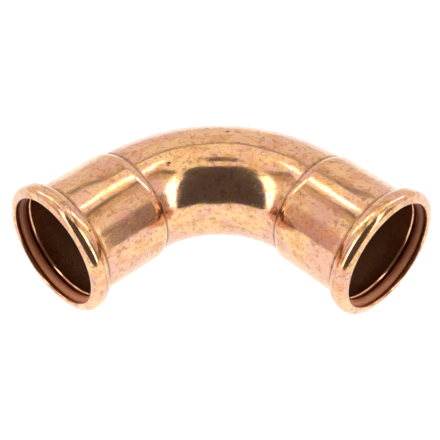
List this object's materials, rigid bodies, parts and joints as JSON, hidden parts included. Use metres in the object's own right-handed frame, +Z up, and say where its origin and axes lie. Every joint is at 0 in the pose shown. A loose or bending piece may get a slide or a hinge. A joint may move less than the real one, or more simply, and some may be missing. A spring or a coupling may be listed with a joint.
{
  "type": "press fit pipe elbow",
  "caption": "Right-angle copper elbow for pipe, with a press socket at each end whose beaded mouth holds a rubber O-ring.",
  "frame": {"origin": "on the surface that the elbow lies on, under the centre of its outline seen from above", "axes": "+X out of the right socket, -Y out of the left socket, +Z up, square to the plane of the bend"},
  "size_m": [0.1136, 0.1136, 0.0522],
  "materials": {
    "copper": "bright drawn copper, lightly tarnished",
    "seal_rubber": "matte"
  },
  "bodies": {
    "root": {"elbow_body": "copper", "left_o_ring": "seal_rubber", "right_o_ring": "seal_rubber"}
  },
  "joints": []
}
